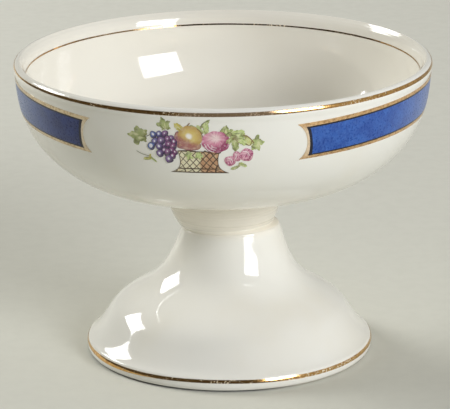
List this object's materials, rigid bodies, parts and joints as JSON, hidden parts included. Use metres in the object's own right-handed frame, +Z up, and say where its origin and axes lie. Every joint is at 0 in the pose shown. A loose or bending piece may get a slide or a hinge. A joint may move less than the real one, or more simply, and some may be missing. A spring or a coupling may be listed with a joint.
{
  "type": "sherbet dish",
  "caption": "Footed sherbet dish: a round glazed bowl with a rolled lip on a flared hollow pedestal, with gold lines, framed blue panels and printed fruit baskets.",
  "frame": {"origin": "on the plane the foot stands on, under the middle of the bowl's rim", "axes": "+Z up along the bowl's axis, -Y towards the side seen in the picture, +X to that view's right"},
  "size_m": [0.1022, 0.1022, 0.0743],
  "materials": {
    "glaze": "glossy cream-white glaze",
    "slip": "dull fired slip",
    "gold": "bright fired gilding, a little worn",
    "blue": "glossy stippled blue enamel",
    "print": "glossy fired colour print"
  },
  "bodies": {
    "root": {"bowl": "glaze", "pedestal_foot": "glaze", "slip_joint": "slip", "rim_gold_line": "gold", "inner_gold_line": "gold", "foot_gold_line": "gold", "gold_frame_left": "gold", "gold_frame_right": "gold", "blue_panel_left": "blue", "blue_panel_right": "blue", "fruit_basket_front": "print", "fruit_basket_back": "print"}
  },
  "joints": []
}
